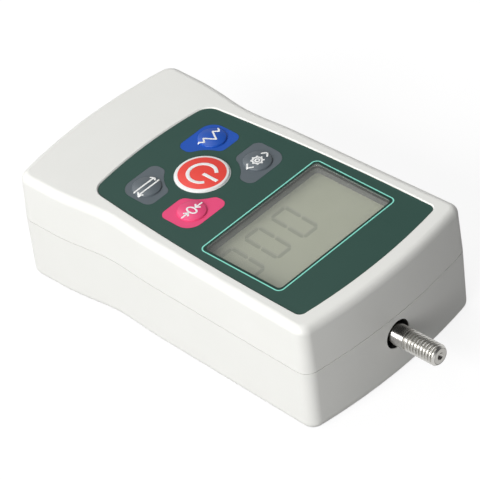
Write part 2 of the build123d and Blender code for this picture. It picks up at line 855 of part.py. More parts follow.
with BuildPart() as anchor_screws:
    with BuildSketch(level(anchor_head_sink)):
        with Locations(*anchor_screw_places):
            Circle(anchor_head_r)
            RegularPolygon(anchor_screw_r, hex_sides, mode=Mode.SUBTRACT)
    extrude(amount=anchor_head_height)
    with BuildSketch(level(anchor_head_sink + anchor_head_height / 2)):
        with Locations(*anchor_screw_places):
            Circle(anchor_screw_r)
    extrude(amount=anchor_screw_length)
export(anchor_screws.part, "anchor_screws")

# ---------------------------------------------------------------- battery and charging jack
with BuildPart() as battery_pack:
    with BuildSketch(level(battery_z)):
        with Locations((0, battery_mid_y)):
            RectangleRounded(battery_width, battery_length, battery_edge_r)
    extrude(amount=battery_height)
export(battery_pack.part, "battery_pack")

with BuildPart() as battery_tape:
    with BuildSketch(level(wall)):
        with Locations((0, battery_mid_y)):
            Rectangle(battery_width - 2 * tape_margin, battery_length - 2 * tape_margin)
    extrude(amount=tape_t)
export(battery_tape.part, "battery_tape")

with BuildPart() as charging_jack:
    with BuildSketch(level(jack_z - jack_height / 2)):
        with Locations((0, jack_front_y - jack_length / 2)):
            Rectangle(jack_width, jack_length)
    extrude(amount=jack_height)
    with BuildSketch(facing_front(0, jack_rear_y, jack_z)):
        Circle(jack_nose_r)
    extrude(amount=jack_nose_sink - wall - jack_gap)
    with BuildSketch(facing_front(0, rear_face_y + jack_nose_sink, jack_z)):
        Circle(jack_bore_r)
        Circle(jack_pin_r, mode=Mode.SUBTRACT)
    extrude(amount=jack_bore_depth, mode=Mode.SUBTRACT)
export(charging_jack.part, "charging_jack")


def lead(route, radius):
    """A round wire along straight runs joined by tangent arcs, as large as the runs allow."""
    points = [Vector(*point) for point in route]
    radii = []
    for before, corner, after in zip(points, points[1:], points[2:]):
        run_in, run_out = corner - before, after - corner
        half_turn = radians(run_in.get_angle(run_out)) / 2
        radii.append(bend_share * min(run_in.length, run_out.length) / tan(half_turn))
    with BuildPart() as wire:
        with BuildLine() as path:
            FilletPolyline(*points, radius=radii)
        with BuildSketch(Plane(origin=points[0], z_dir=points[1] - points[0])):
            Circle(radius)
        sweep(path=path.line)
    return wire.part


socket_z = board_z - socket_height / 2

with BuildPart() as battery_leads:
    for shift in (-lead_pitch / 2, lead_pitch / 2):
        x = battery_socket_x + shift
        back_y = battery_rear_y - lead_loop
        battery_route = [
            (x, battery_rear_y, battery_lead_z),
            (x, back_y, battery_lead_z),
            (x, back_y, socket_z),
            (x, socket_rear_y, socket_z),
        ]
        add(lead(battery_route, lead_r))
export(battery_leads.part, "battery_leads")

with BuildPart() as charging_leads:
    for shift in (-lead_pitch / 2, lead_pitch / 2):
        x = charge_socket_x + shift
        y = jack_front_y - jack_length / 2 + shift
        jack_route = [
            (-jack_width / 2, y, jack_z),
            (x, y, jack_z),
            (x, y, socket_z),
            (x, socket_rear_y, socket_z),
        ]
        add(lead(jack_route, lead_r))
export(charging_leads.part, "charging_leads")

with BuildPart() as cell_cable:
    cable_y = cell_socket_y + cable_loop
    cell_route = [
        (cell_width / 2, cable_y, load_z + cable_rise),
        (cell_socket_x, cable_y, load_z + cable_rise),
        (cell_socket_x, cable_y, socket_z),
        (cell_socket_x, cell_socket_y + socket_length / 2, socket_z),
    ]
    add(lead(cell_route, cable_r))
export(cell_cable.part, "cell_cable")

# ---------------------------------------------------------------- fasteners from the back
with BuildPart() as case_screws:
    with BuildSketch(level(case_seat_z - case_head_height)):
        with Locations(*case_boss_places):
            Circle(case_head_r)
            RegularPolygon(case_screw_r, hex_sides, mode=Mode.SUBTRACT)
    extrude(amount=case_head_height)
    with BuildSketch(level(case_seat_z - case_head_height / 2)):
        with Locations(*case_boss_places):
            Circle(case_screw_r)
    extrude(amount=case_screw_length)
export(case_screws.part, "case_screws")

with BuildPart() as stand_inserts:
    with BuildSketch(level(insert_sink)):
        with Locations(*stand_places):
            Circle(insert_r)
            Circle(insert_bore_r, mode=Mode.SUBTRACT)
    extrude(amount=insert_length - insert_sink)
export(stand_inserts.part, "stand_inserts")
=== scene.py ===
"""Looks of the hand-held force gauge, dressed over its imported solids: a finish for every piece, the
turned shaft and the thread of its stud, the marks on its keys, the figures of its display, and a
plain studio.

Lengths are written in millimetres and turned into metres where they are used.
"""

import json
from math import cos, radians, sin, tau

import bmesh
import bpy
from mathutils import Matrix, Vector
from mathutils.bvhtree import BVHTree


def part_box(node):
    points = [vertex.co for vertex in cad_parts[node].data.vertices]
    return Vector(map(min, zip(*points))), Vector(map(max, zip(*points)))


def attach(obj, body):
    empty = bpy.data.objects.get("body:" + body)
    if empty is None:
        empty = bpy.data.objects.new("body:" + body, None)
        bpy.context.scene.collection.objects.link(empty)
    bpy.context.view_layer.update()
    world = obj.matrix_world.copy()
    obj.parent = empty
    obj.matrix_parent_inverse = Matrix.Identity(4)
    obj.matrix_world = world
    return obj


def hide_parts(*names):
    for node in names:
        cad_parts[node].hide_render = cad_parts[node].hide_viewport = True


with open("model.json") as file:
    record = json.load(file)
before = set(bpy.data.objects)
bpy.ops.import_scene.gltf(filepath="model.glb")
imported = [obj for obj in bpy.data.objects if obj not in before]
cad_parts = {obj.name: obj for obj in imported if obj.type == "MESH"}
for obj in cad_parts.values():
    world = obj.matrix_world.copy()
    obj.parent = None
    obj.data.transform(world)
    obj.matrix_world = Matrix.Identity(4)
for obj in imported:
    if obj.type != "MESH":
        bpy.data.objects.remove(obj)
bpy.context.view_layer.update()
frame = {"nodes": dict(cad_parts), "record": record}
nodes = frame["nodes"]
slot_of = {part["node"]: part["material_slot"] for part in frame["record"]["subparts"]}
MM = 0.001

# ---------------------------------------------------------------- shaft, its thread, and holes
shaft_low, shaft_high = (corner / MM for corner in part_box("sensing_shaft"))
shaft_mid = (shaft_low + shaft_high) / 2
shaft_r = (shaft_high.x - shaft_low.x) / 2
thread_length = 10.5
thread_pitch = 1.0
thread_depth = 0.58
thread_crest = 0.2  # share of the thread's height that its crest and its root lose to flats
thread_root = 0.1
thread_rows = 240
thread_y = shaft_high.y - thread_length
relief_length = 0.5  # plain groove before the first turn
relief_depth = 0.4
relief_end = (0.98, 1.1)  # the groove ends between these shares of its length
tip_chamfer = 0.6
tip_edge = (0.12, 0.2)  # the tip's edge is broken in two steps, this far in from its radius
tip_root = (1.0, 0.5)  # under the thread the core ends this far behind the tip, and then widens
core_inset = 0.15  # the core lies this far below the thread's root
centre_hole_r = 1.1
centre_hole_edge = 0.08
centre_hole_depth = 1.2
centre_point_r = 0.35  # the hole narrows to this just above its point
centre_point_rise = 0.1
edge_drop = 0.03  # how far a broken edge falls back from the tip's face
plain_length = 3.9  # bright plain shaft between the case and the thread
shoulder_edge = 0.12
seam_step = 0.01  # faces square to the shaft lean by this, so that no two rings share a plane
hidden_inset = 0.08  # the shaft inside the case is turned down by this
hidden_edge = 0.2
hidden_rise = 0.1  # it comes back to full size over this length
tool_mark_pitch = 0.16  # fine rings that turning leaves on the plain shaft
tool_mark_depth = 0.027
tool_marks_inside = 1.0  # the rings start this far inside the shaft's hole
turns = 72  # faces round a turned piece
crease = radians(28)  # sharper edges than this stay sharp

bore_r = 4.3  # the shaft's hole in the case's front end, on whose wall shade is painted near black
bore_mouth_y = 55.7
bore_rear_y = 46.0
bore_blend = 0.3  # the painted shade fades over this at the mouth and the rear
bore_skin = 0.12  # and over this into the wall
contact_pin_r = 1.1  # bright pin in the charging jack
contact_pin_edge = 0.05

# ---------------------------------------------------------------- panel and display
window_centre = (0.0, 23.3)
print_line_half = (22.55, 14.08)  # half sizes of the light line round the window
print_line_r = 1.6
print_line_width = 0.36
print_edge = 0.05  # a printed edge blends over this, to either side
figure_count = 3
figure_first = (-2.65, 19.1)  # middle of the first figure
figure_pitch = 10.25
figure_width = 6.4
figure_height = 13.2
figure_slant = 0.7  # a figure's top leans this far forward of its foot
figure_stroke = 1.0
figure_gap = 0.12  # from a stroke's tip to the corner where two strokes meet
figure_shadow_shift = (-0.55, -0.35)  # where the figures' shadows fall on the reflector behind them

# ---------------------------------------------------------------- keys and the marks on them
power_mark_place = (0.0, -11.2)
petal_mark_place = {
    "set": (-12.7, -2.9), "zero": (12.7, -2.9), "peak": (-12.7, -19.5), "unit": (12.7, -19.5),
}
petal_emboss_r = 4.0
power_emboss_r = 7.4
power_red_r = 6.6  # the power key is red inside this radius and white round it
red_edge = 0.04
crown_height = 0.58  # the embossed rounds rise a little to their middles
film_skin = 0.003

mark_thickness = 0.015
mark_step = 0.12  # a stroke follows the key's surface at points this far apart
drape_reach = 0.18  # a stroke lies on the highest point this near, so that it clears a round's edge
drape_feelers = 8
mark_width = 8.6
mark_height = 3.6
mark_stroke = 0.52
mark_head = 0.95  # reach of an arrow's head
power_ring_r = 3.85
power_stroke = 1.05
power_bar = (0.4, 5.5)  # the bar's ends, counted up from the middle of the ring
power_gap_angle = 38
# The rest are shares of a mark's half width or half height.
gear_teeth = 8
gear_tip = 1.22
gear_rim = 0.85
gear_hub = 0.38
chevron_reach = (0.9, 0.75)
nought_half_width = 0.62
zero_arrow_end = 0.36
swap_arrow_rise = 0.55
peak_line = ((-1, -1), (-0.72, -0.1), (-0.45, -1), (0, 1), (0.45, -1), (0.72, -0.1), (1, -1))

# ---------------------------------------------------------------- studio
world_strength = 0.20  # light from all round
overhead_white = 0.07  # brightness overhead as shiny things mirror it, next to 1 at the horizon
overhead_height = 0.5  # reached at this height of a ray one unit long
floor_half = 3000.0
floor_drop = 0.05  # keeps the floor clear of the flat back that lies on it
floor_white = 1.06
floor_share = 0.8  # share of plain white in the floor as it is seen; the rest takes the shadow
floor_seen = (0.93, 0.93, 0.93)
floor_bounce = (0.20, 0.20, 0.20)  # its colour to the light that falls on the gauge
softboxes = {  # place, size in metres, power in watts
    "side_softbox": ((1100, 220, 560), (1.0, 0.7), 17.0),
    "top_softbox": ((100, -800, 1000), (1.2, 1.2), 10.0),
}
softbox_aim = (0, 0, 15)
camera_place = (513.22, 565.94, 662.13)
camera_right = (-0.678139, 0.728241, -0.098961)
camera_up = (-0.525751, -0.386616, 0.757703)
camera_back = (0.513531, 0.565857, 0.645052)
camera_sensor = 36.0
camera_lens = 281.69
camera_shift = (-0.00104, -0.00096)
camera_reach = 20.0  # in metres, as Blender's own clip distance is


# ---------------------------------------------------------------- nodes of finishes and of shapes
class Value:
    """One output of a node; sums and products of values add the nodes that work them out."""

    def __init__(self, tree, socket):
        self.tree = tree
        self.socket = socket

    def maths(self, operation, a, b=0.0):
        return self.tree.node("ShaderNodeMath", {"operation": operation}, {0: a, 1: b})

    def __add__(self, other):
        return self.maths("ADD", self, other)

    __radd__ = __add__

    def __sub__(self, other):
        return self.maths("SUBTRACT", self, other)

    def __rsub__(self, other):
        return self.maths("SUBTRACT", other, self)

    def __mul__(self, other):
        return self.maths("MULTIPLY", self, other)

    __rmul__ = __mul__

    def __truediv__(self, other):
        return self.maths("DIVIDE", self, other)

    def __rtruediv__(self, other):
        return self.maths("DIVIDE", other, self)

    def __pow__(self, other):
        return self.maths("POWER", self, other)

    def __abs__(self):
        return self.maths("ABSOLUTE", self)

    def at_least(self, other):
        return self.maths("MAXIMUM", self, other)

    def at_most(self, other):
        return self.maths("MINIMUM", self, other)

    def fraction(self):
        return self.maths("FRACT", self)

    def sine(self):
        return self.maths("SINE", self)

    def cosine(self):
        return self.maths("COSINE", self)

    def between(self, low, high):
        """Spreads a share from 0 to 1 over low to high."""
        return self * (high - low) + low

    def ramp(self, low, high, rise="LINEAR"):
        """0 below low, 1 above high, and a rise between them, straight unless told otherwise."""
        settings = {"clamp": True, "interpolation_type": rise}
        inputs = {0: self, 1: low, 2: high, 3: 0.0, 4: 1.0}
        return self.tree.node("ShaderNodeMapRange", settings, inputs)


class Tree:
    """A tree of nodes, of a finish or of a shape."""

    def __init__(self, tree):
        self.tree = tree

    def feed(self, socket, value):
        """Gives a socket a value of its own, or links another node's output to it."""
        if isinstance(value, Value):
            self.tree.links.new(value.socket, socket)
        elif socket.type == "RGBA" and len(value) == 3:
            socket.default_value = (*value, 1.0)
        else:
            socket.default_value = value

    def node(self, kind, settings=None, inputs=None, output=0):
        """Adds a node: its settings first, then what its sockets hold."""
        made = self.tree.nodes.new(kind)
        for name, value in (settings or {}).items():
            setattr(made, name, value)
        for name, value in (inputs or {}).items():
            self.feed(made.inputs[name], value)
        return Value(self, made.outputs[output])

    def end(self, kind, socket, value):
        """Adds the node that ends the tree."""
        self.feed(self.tree.nodes.new(kind).inputs[socket], value)

    def split(self, vector):
        """The three parts of a vector."""
        parts = self.node("ShaderNodeSeparateXYZ", None, {0: vector}).socket.node.outputs
        return [Value(self, part) for part in parts]

    def combine(self, x, y, z):
        return self.node("ShaderNodeCombineXYZ", None, {0: x, 1: y, 2: z})


class Finish(Tree):
    """The finish of a surface, on coordinates that stay with the piece."""

    def __init__(self, name):
        self.material = bpy.data.materials.new(name)
        self.material.use_nodes = True
        super().__init__(self.material.node_tree)
        self.tree.nodes.clear()
        self.place = self.node("ShaderNodeTexCoord", output="Object")
        self.x, self.y, self.z = (part * (1 / MM) for part in self.split(self.place))

    def grain(self, size, detail=3.0, stretch=(1.0, 1.0, 1.0)):
        """Noise with features about size millimetres across, drawn out where stretch is low."""
        scale = tuple(share / (size * MM) for share in stretch)
        spread = self.node("ShaderNodeMapping", None, {"Vector": self.place, "Scale": scale})
        inputs = {"Vector": spread, "Scale": 1.0, "Detail": detail, "Roughness": 0.55}
        return self.node("ShaderNodeTexNoise", None, inputs)

    def mix(self, share, first, second):
        """The first colour where share is 0, the second where it is 1."""
        inputs = {0: share, 6: first, 7: second}
        return self.node("ShaderNodeMix", {"data_type": "RGBA"}, inputs, output=2)

    def bump(self, height, depth, strength=1.0):
        """Relief of a height between 0 and 1, depth millimetres deep."""
        inputs = {"Height": height, "Distance": depth * MM, "Strength": strength}
        return self.node("ShaderNodeBump", None, inputs)

    def away_from(self, centre):
        """Distance in millimetres from a point of the panel, seen from above."""
        return ((self.x - centre[0]) ** 2 + (self.y - centre[1]) ** 2) ** 0.5

    def surface(self, **sockets):
        """Ends the finish in one shader; sockets are named in plain words with underscores."""
        shader = self.node("ShaderNodeBsdfPrincipled")
        names = {s.name.lower().replace(" ", "_"): s for s in shader.socket.node.inputs}
        for name, value in sockets.items():
            self.feed(names[name], value)
        self.end("ShaderNodeOutputMaterial", "Surface", shader)
        return self.material


# ---------------------------------------------------------------- finishes
def moulded_case():
    """Off-white satin plastic, with shade painted near black on the wall of the shaft's hole."""
    f = Finish("moulded_case")
    cloud = f.grain(14.0, detail=2.0)
    skin = f.grain(0.34, detail=4.0)
    white = f.mix(cloud, (0.775, 0.775, 0.742), (0.805, 0.805, 0.775))
    # Painted shade: the wall of the shaft's hole, which lies in shade, is coloured near black.
    from_axis = (f.x**2 + (f.z - shaft_mid.z) ** 2) ** 0.5
    shaded_bore_wall = (bore_r - from_axis).ramp(-bore_skin, 0.0)
    behind_mouth = (bore_mouth_y - f.y).ramp(0.0, bore_blend)
    before_rear = (f.y - bore_rear_y).ramp(-bore_blend, 0.0)
    dark = shaded_bore_wall * behind_mouth * before_rear
    return f.surface(
        base_color=f.mix(dark, white, (0.030, 0.030, 0.029)), roughness=skin.between(0.36, 0.50),
        ior=1.47, normal=f.bump(skin, 0.02, strength=0.55),
    )


def printed_overlay():
    """Dark green film with a light line round the window, and darker green inside the line."""
    f = Finish("printed_overlay")
    cloud = f.grain(18.0, detail=2.0)
    film = f.grain(0.22)
    green = f.mix(cloud, (0.021, 0.066, 0.052), (0.026, 0.077, 0.060))
    # Distance from the middle of the line, a rounded rectangle: negative inside it.
    across = abs(f.x - window_centre[0]) - (print_line_half[0] - print_line_r)
    along = abs(f.y - window_centre[1]) - (print_line_half[1] - print_line_r)
    outside = (across.at_least(0.0) ** 2 + along.at_least(0.0) ** 2) ** 0.5
    away = outside + across.at_least(along).at_most(0.0) - print_line_r
    green = f.mix((0.0 - away).ramp(0.0, print_edge), green, (0.008, 0.036, 0.026))
    line = 1.0 - (abs(away) - print_line_width / 2).ramp(-print_edge, print_edge)
    return f.surface(
        base_color=f.mix(line, green, (0.26, 0.78, 0.64)), roughness=film.between(0.32, 0.44),
        ior=1.46, normal=f.bump(film, 0.006, strength=0.5),
    )


def key_film(f, colour, centre, emboss_r):
    """Ends a key's finish: the film's fine skin, and the low crown of its embossed round."""
    film = f.grain(0.22)
    crown = (1.0 - (f.away_from(centre) / emboss_r) ** 2).at_least(0.0) * crown_height
    return f.surface(
        base_color=colour, roughness=film.between(0.28, 0.40), ior=1.46,
        normal=f.bump(crown + film * film_skin, 1.0),
    )


def petal_key_film(name, key, colour, shade):
    f = Finish(name)
    tint = f.mix(f.grain(9.0, detail=2.0), shade, colour)
    return key_film(f, tint, petal_mark_place[key], petal_emboss_r)


def power_key_film():
    f = Finish("power_key_film")
    red = f.mix(f.grain(9.0, detail=2.0), (0.78, 0.058, 0.044), (0.86, 0.072, 0.055))
    outside_red = (f.away_from(power_mark_place) - power_red_r).ramp(-red_edge, red_edge)
    colour = f.mix(outside_red, red, (0.80, 0.80, 0.79))
    return key_film(f, colour, power_mark_place, power_emboss_r)


def white_print():
    f = Finish("white_print")
    film = f.grain(0.3)
    white = f.mix(film, (0.80, 0.81, 0.80), (0.88, 0.88, 0.87))
    return f.surface(base_color=white, roughness=film.between(0.35, 0.45))


def clear_window():
    f = Finish("clear_window")
    haze = f.grain(6.0, detail=2.0)
    return f.surface(
        base_color=(0.86, 0.90, 0.86), roughness=haze.between(0.04, 0.07), ior=1.49,
        alpha=haze.between(0.07, 0.11),
    )


def display_face():
    """Grey-green reflector behind the display's glass."""
    f = Finish("display_face")
    cell = f.grain(0.25, detail=2.0)
    tone = f.mix(f.grain(16.0, detail=2.0), (0.335, 0.345, 0.255), (0.370, 0.378, 0.280))
    return f.surface(
        base_color=f.mix(cell * 0.12, tone, (0.29, 0.31, 0.225)), roughness=cell.between(0.3, 0.4),
        ior=1.5,
    )


def display_print(name, dark, light):
    """Faint figures of an unlit display, or their fainter shadows."""
    f = Finish(name)
    return f.surface(base_color=f.mix(f.grain(0.8, detail=2.0), dark, light), roughness=0.4)


def plain_moulding(name, colour, shade, roughness=0.42, size=0.4):
    """Moulded plastic or rubber, its fine skin made of grains about size millimetres across."""
    f = Finish(name)
    skin = f.grain(size)
    return f.surface(
        base_color=f.mix(f.grain(7.0, detail=2.0), shade, colour),
        roughness=skin.between(roughness, roughness + 0.16),
        normal=f.bump(skin, 0.02, strength=0.5),
    )


def turned_metal(name, colour, shade, roughness, lay=(0.06, 1.0, 0.06)):
    """Metal with tool marks: a low number in lay draws them out along x, y or z."""
    f = Finish(name)
    marks = f.grain(0.18, detail=4.0, stretch=lay)
    return f.surface(
        base_color=f.mix(f.grain(3.0, detail=2.0), shade, colour), metallic=1.0,
        roughness=marks.between(roughness, roughness + 0.14), normal=f.bump(marks, 0.0024),
    )


def circuit_board():
    """Green solder mask over paler tracks."""
    f = Finish("circuit_board")
    black, white = (0, 0, 0, 1), (1, 1, 1, 1)
    inputs = {"Vector": f.place, "Scale": 260.0, "Mortar Size": 0.06, "Color1": black,
              "Color2": black, "Mortar": white}
    tracks = f.node("ShaderNodeTexBrick", None, inputs)
    mask = f.grain(0.8)
    green = f.mix(mask, (0.012, 0.115, 0.040), (0.016, 0.150, 0.055))
    return f.surface(
        base_color=f.mix(tracks, green, (0.035, 0.24, 0.085)), roughness=mask.between(0.25, 0.35)
    )


def charging_jack():
    """Black moulding round a bright contact pin."""
    f = Finish("charging_jack")
    low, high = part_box("charging_jack")
    mid_z = (low.z + high.z) / 2 / MM
    beyond_pin = (f.x**2 + (f.z - mid_z) ** 2) ** 0.5 - contact_pin_r
    pin = 1.0 - beyond_pin.ramp(-contact_pin_edge, contact_pin_edge)
    return f.surface(
        base_color=f.mix(pin, (0.020, 0.020, 0.021), (0.62, 0.61, 0.58)), metallic=pin,
        roughness=f.grain(0.4).between(0.3, 0.45),
    )


lay_high = (1.0, 1.0, 0.1)  # tool marks along z
lay_level = (1.0, 0.08, 0.08)  # tool marks square to x
grey_key, grey_key_shade = (0.118, 0.140, 0.157), (0.102, 0.124, 0.140)
finish_of = {
    "case": moulded_case(),
    "overlay": printed_overlay(),
    "window": clear_window(),
    "lcd": display_face(),
    "black": plain_moulding("black_moulding", (0.050, 0.051, 0.052), (0.040, 0.040, 0.042)),
    "rubber": plain_moulding("striped_rubber", (0.26, 0.26, 0.27), (0.20, 0.20, 0.21), 0.6),
    "film": plain_moulding("amber_film", (0.66, 0.60, 0.44), (0.60, 0.54, 0.38), 0.3),
    "key_red": power_key_film(),
    "key_pink": petal_key_film("pink_key_film", "zero", (0.83, 0.075, 0.215), (0.78, 0.068, 0.19)),
    "key_blue": petal_key_film("blue_key_film", "peak", (0.012, 0.09, 0.47), (0.010, 0.076, 0.42)),
    "ivory": plain_moulding("ivory_moulding", (0.74, 0.69, 0.57), (0.70, 0.65, 0.53)),
    "board": circuit_board(),
    "chip": plain_moulding("chip_moulding", (0.022, 0.022, 0.024), (0.018, 0.018, 0.019), 0.5, 0.2),
    "alloy": turned_metal("milled_alloy", (0.76, 0.76, 0.78), (0.7, 0.7, 0.72), 0.28, lay_level),
    "foil": plain_moulding("amber_foil", (0.58, 0.34, 0.10), (0.50, 0.28, 0.08), 0.25),
    # The plain shaft's stainless is painted darker than the thread's, as painted shade for the dark
    # reflections it shows; its low roughness and tool marks are real.
    "shaft": turned_metal("ground_stainless", (0.50, 0.49, 0.46), (0.44, 0.43, 0.41), 0.12),
    "steel": turned_metal("plated_steel", (0.62, 0.62, 0.63), (0.54, 0.54, 0.56), 0.24, lay_high),
    "sleeve": plain_moulding("shrink_sleeve", (0.03, 0.10, 0.36), (0.025, 0.08, 0.30), 0.22),
    "foam": plain_moulding("foam_tape", (0.11, 0.11, 0.11), (0.08, 0.08, 0.08), 0.7, 0.6),
    "wire": plain_moulding("wire_cover", (0.36, 0.022, 0.020), (0.30, 0.018, 0.016), 0.4),
    "brass": turned_metal("turned_brass", (0.78, 0.56, 0.24), (0.68, 0.47, 0.19), 0.2, lay_high),
}
own_finish = {  # of nodes that look unlike the rest of their slot
    "set_key": petal_key_film("set_key_film", "set", grey_key, grey_key_shade),
    "unit_key": petal_key_film("unit_key_film", "unit", grey_key, grey_key_shade),
    "charging_jack": charging_jack(),
    "display_holder": plain_moulding("display_holder", (0.1, 0.098, 0.094), (0.08, 0.078, 0.075)),
}
# The thread's stainless is painted lighter than the plain shaft's, as painted reflection for the
# bright reflections it shows; its roughness and tool marks are real.
thread_finish = turned_metal("rolled_stainless", (0.68, 0.67, 0.64), (0.62, 0.61, 0.58), 0.2)
white_mark = white_print()
figure_finish = display_print("display_figures", (0.215, 0.222, 0.162), (0.250, 0.256, 0.190))
shadow_finish = display_print("figure_shadows", (0.290, 0.296, 0.228), (0.312, 0.318, 0.246))

for node_name, node in nodes.items():
    node.data.materials.clear()
    node.data.materials.append(own_finish.get(node_name) or finish_of[slot_of[node_name]])


# ---------------------------------------------------------------- meshes and shape trees
def linked(name, data):
    """A new object in the scene."""
    made = bpy.data.objects.new(name, data)
    bpy.context.scene.collection.objects.link(made)
    return made


def piece(name, mesh, finish, body):
    """A finished piece: its object at the origin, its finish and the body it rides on."""
    mesh.name = name
    made = linked(name, mesh)
    mesh.materials.clear()
    mesh.materials.append(finish)
    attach(made, body)
    return made


def mesh_of(shape, name):
    """A mesh from a bmesh, with its normals pointing outwards."""
    bmesh.ops.recalc_face_normals(shape, faces=shape.faces)
    mesh = bpy.data.meshes.new(name)
    shape.to_mesh(mesh)
    shape.free()
    return mesh


def evaluated(holder):
    """The plain mesh that an object comes out as."""
    view = bpy.context.evaluated_depsgraph_get()
    return bpy.data.meshes.new_from_object(holder.evaluated_get(view))


def bake_tree(name, base_mesh, tree, settings):
    """Runs a shape tree on a mesh with the given inputs, and returns the plain mesh."""
    holder = linked(name, base_mesh)
    modifier = holder.modifiers.new(name, "NODES")
    modifier.node_group = tree
    for item in tree.interface.items_tree:
        if item.in_out == "INPUT" and item.name in settings:
            modifier[item.identifier] = settings[item.name]
    result = evaluated(holder)
    holder.modifiers.remove(modifier)
    bpy.data.objects.remove(holder)
    return result


FLOAT, WHOLE = "NodeSocketFloat", "NodeSocketInt"


class Shape(Tree):
    """A tree that makes a shape from the incoming one and from named inputs."""

    def __init__(self, name, numbers, finish):
        group = bpy.data.node_groups.new(name, "GeometryNodeTree")
        super().__init__(group)
        self.finish = finish
        geometry = "NodeSocketGeometry"
        group.interface.new_socket("Geometry", in_out="INPUT", socket_type=geometry)
        for number, kind in numbers.items():
            group.interface.new_socket(number, in_out="INPUT", socket_type=kind)
        group.interface.new_socket("Geometry", in_out="OUTPUT", socket_type=geometry)
        start = group.nodes.new("NodeGroupInput")
        self.given = {out.name: Value(self, out) for out in start.outputs if out.name}

    def finished(self, geometry):
        """Ends the tree, and returns it for a modifier."""
        real = self.node("GeometryNodeRealizeInstances", None, {0: geometry})
        inputs = {"Geometry": real, "Material": self.finish}
        dressed = self.node("GeometryNodeSetMaterial", None, inputs)
        self.end("NodeGroupOutput", 0, dressed)
        return self.tree


# ---------------------------------------------------------------- sensing shaft
def thread_tree():
    """A helical thread along y about its own axis, wound from a flat sheet."""
    numbers = {
        "Length": FLOAT, "Pitch": FLOAT, "Radius": FLOAT, "Depth": FLOAT, "Crest": FLOAT,
        "Root": FLOAT, "Chamfer": FLOAT, "Relief length": FLOAT, "Relief depth": FLOAT,
        "Around": WHOLE, "Along": WHOLE,
    }
    tree = Shape("wound_thread", numbers, thread_finish)
    given = tree.given
    inputs = {"Size X": 1.0, "Size Y": 1.0}
    inputs |= {"Vertices X": given["Around"], "Vertices Y": given["Along"]}
    sheet = tree.node("GeometryNodeMeshGrid", None, inputs)
    across, up, _ = tree.split(tree.node("GeometryNodeInputPosition"))
    turn = across + 0.5
    along = (up + 0.5) * given["Length"]
    # Height of the thread: 0 on the root's flat, 1 on the crest's.
    phase = abs((along / given["Pitch"] - turn).fraction() - 0.5) * 2.0
    height = phase.ramp(given["Root"], 1.0 - given["Crest"], "SMOOTHSTEP")
    radius = given["Radius"] - given["Depth"] * (1.0 - height)
    radius = radius.at_most(given["Radius"] - given["Chamfer"] + (given["Length"] - along))
    relief = 1.0 - (along / given["Relief length"]).ramp(*relief_end)
    radius = radius.at_most(given["Radius"] - relief * given["Relief depth"])
    angle = turn * tau
    place = tree.combine(radius * angle.cosine(), along, radius * angle.sine())
    wound = tree.node("GeometryNodeSetPosition", None, {"Geometry": sheet, "Position": place})
    inputs = {"Geometry": wound, "Distance": 0.001 * MM}
    closed = tree.node("GeometryNodeMergeByDistance", None, inputs)
    return tree.finished(tree.node("GeometryNodeSetShadeSmooth", None, {"Geometry": closed}))


def lathe(profile):
    """A bmesh turned about the y axis from (radius, y) points; a radius of 0 closes an end."""
    shape = bmesh.new()
    angles = [tau * i / turns for i in range(turns)]
    rings = []
    for radius, y in profile:
        if radius == 0:
            rings.append([shape.verts.new((0, y * MM, 0))] * turns)
        else:
            ring = [Vector((radius * cos(a), y, radius * sin(a))) for a in angles]
            rings.append([shape.verts.new(point * MM) for point in ring])
    for low, high in zip(rings, rings[1:]):
        for i in range(turns):
            corners = [low[i], low[(i + 1) % turns], high[(i + 1) % turns], high[i]]
            unique = list(dict.fromkeys(corners))
            if len(unique) > 2:
                shape.faces.new(unique)
    return shape


def shaft_profile():
    """Outline of the shaft's core, from its rear end to the point of its centre hole."""
    rear_y, tip_y = shaft_low.y, shaft_high.y
    hidden_r = shaft_r - hidden_inset
    core_r = shaft_r - thread_depth - core_inset
    tip_r = shaft_r - tip_chamfer
    marks_end = thread_y - shoulder_edge
    marks_start = marks_end - plain_length - tool_marks_inside
    tool_marks = [
        (shaft_r - tool_mark_depth * share, marks_start + (i + share / 2) * tool_mark_pitch)
        for i in range(int((marks_end - marks_start) / tool_mark_pitch)) for share in (0, 1)
    ]
    return [
        (0, rear_y), (shaft_r - hidden_edge, rear_y), (hidden_r, rear_y + shoulder_edge),
        (hidden_r, marks_start - hidden_rise),
        *tool_marks, (shaft_r, marks_end), (shaft_r - shoulder_edge, thread_y - seam_step),
        (core_r, thread_y + seam_step), *((core_r, tip_y - back) for back in tip_root),
        (tip_r - tip_edge[0], tip_y - edge_drop), (tip_r - tip_edge[1], tip_y),
        (centre_hole_r + centre_hole_edge, tip_y), (centre_hole_r, tip_y - edge_drop),
        (centre_point_r, tip_y - centre_hole_depth + centre_point_rise),
        (0, tip_y - centre_hole_depth),
    ]


def sensing_shaft():
    """The shaft in two pieces on one body: the turned core with its centred tip, and the thread."""
    axis = Vector((shaft_mid.x, 0, shaft_mid.z))
    core_mesh = mesh_of(lathe(shaft_profile()), "shaft_core")
    core_mesh.transform(Matrix.Translation(axis * MM))
    core_mesh.shade_smooth()
    core_mesh.set_sharp_from_angle(angle=crease)
    settings = {
        "Length": thread_length * MM, "Pitch": thread_pitch * MM, "Radius": shaft_r * MM,
        "Depth": thread_depth * MM, "Crest": thread_crest, "Root": thread_root,
        "Chamfer": tip_chamfer * MM, "Relief length": relief_length * MM,
        "Relief depth": relief_depth * MM, "Around": turns + 1, "Along": thread_rows,
    }
    thread_mesh = bake_tree("stud_thread", bpy.data.meshes.new("sheet"), thread_tree(), settings)
    thread_mesh.transform(Matrix.Translation((axis + Vector((0, thread_y, 0))) * MM))
    core_piece = piece("shaft_core", core_mesh, finish_of["shaft"], "shaft")
    piece("stud_thread", thread_mesh, thread_finish, "shaft")
    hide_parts("sensing_shaft")


